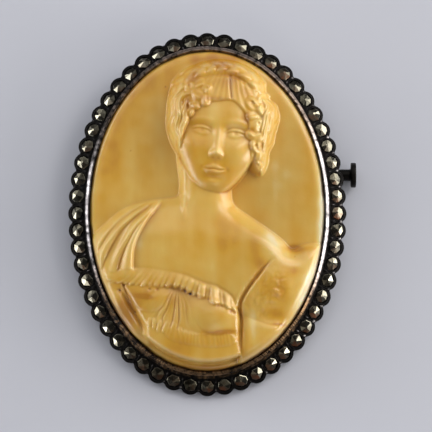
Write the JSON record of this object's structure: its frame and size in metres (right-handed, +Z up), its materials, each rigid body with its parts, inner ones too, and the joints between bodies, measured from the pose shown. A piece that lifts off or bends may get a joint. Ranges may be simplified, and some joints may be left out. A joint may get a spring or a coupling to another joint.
{
  "type": "cameo brooch",
  "caption": "Oval cameo brooch: a carved bust in relief in a silver bezel with a scalloped ring of cut stones, a straight pin and a sliding clasp.",
  "frame": {"origin": "on the table, under the middle of the whole brooch as it rests face up", "axes": "+Z up, +Y towards the top of the figure, +X towards the clasp's pull; the brooch leans back by about 5 degrees on its pin fittings, as it rests by itself"},
  "size_m": [0.036, 0.0453, 0.0105],
  "materials": {
    "carved_plaque": "polished carved bone or ivory, amber patina in the hollows",
    "aged_silver": "blackened silver, worn bright along the bezel",
    "marcasite": "faceted, with a dull metallic lustre",
    "pin_metal": "drawn wire, dull grey",
    "dark_silver": "blackened silver, satin"
  },
  "bodies": {
    "brooch": {"cameo": "carved_plaque", "setting": "aged_silver", "marcasites": "marcasite", "pin": "pin_metal"},
    "pull": {"clasp_pull": "dark_silver"}
  },
  "joints": [
    {"name": "pull_slide", "type": "slide", "parent": "brooch", "child": "pull", "axis": [1, 0, 0], "range_m": [0, 0.0026]}
  ]
}
